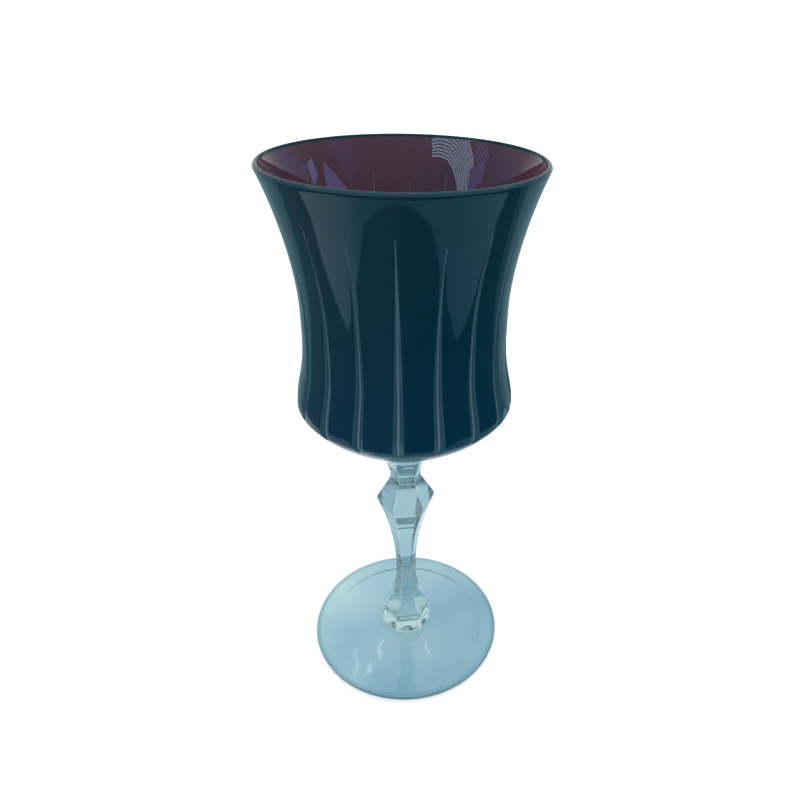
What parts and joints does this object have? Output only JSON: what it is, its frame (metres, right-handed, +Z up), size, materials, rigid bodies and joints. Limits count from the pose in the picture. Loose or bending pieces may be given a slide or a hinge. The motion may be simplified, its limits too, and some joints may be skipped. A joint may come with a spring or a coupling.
{
  "type": "wine glass",
  "caption": "Stemmed wine goblet with a dark, waisted cased bowl cut with upright mitres, on a clear six-sided knopped stem and round foot.",
  "frame": {"origin": "centre of the foot's resting ring, on the surface that the glass stands on", "axes": "+Z up along the glass's axis, -Y towards the viewer of the picture, +X to the viewer's right"},
  "size_m": [0.0888, 0.089, 0.2001],
  "materials": {
    "casing_glass": "polished near-black teal overlay, mitre cut",
    "liner_glass": "polished burgundy inner layer",
    "clear_glass": "polished clear glass with a pale blue tint"
  },
  "bodies": {
    "root": {"bowl_casing": "casing_glass", "bowl_liner": "liner_glass", "bowl_merese": "clear_glass", "stem": "clear_glass", "foot_merese": "clear_glass", "foot": "clear_glass"}
  },
  "joints": []
}
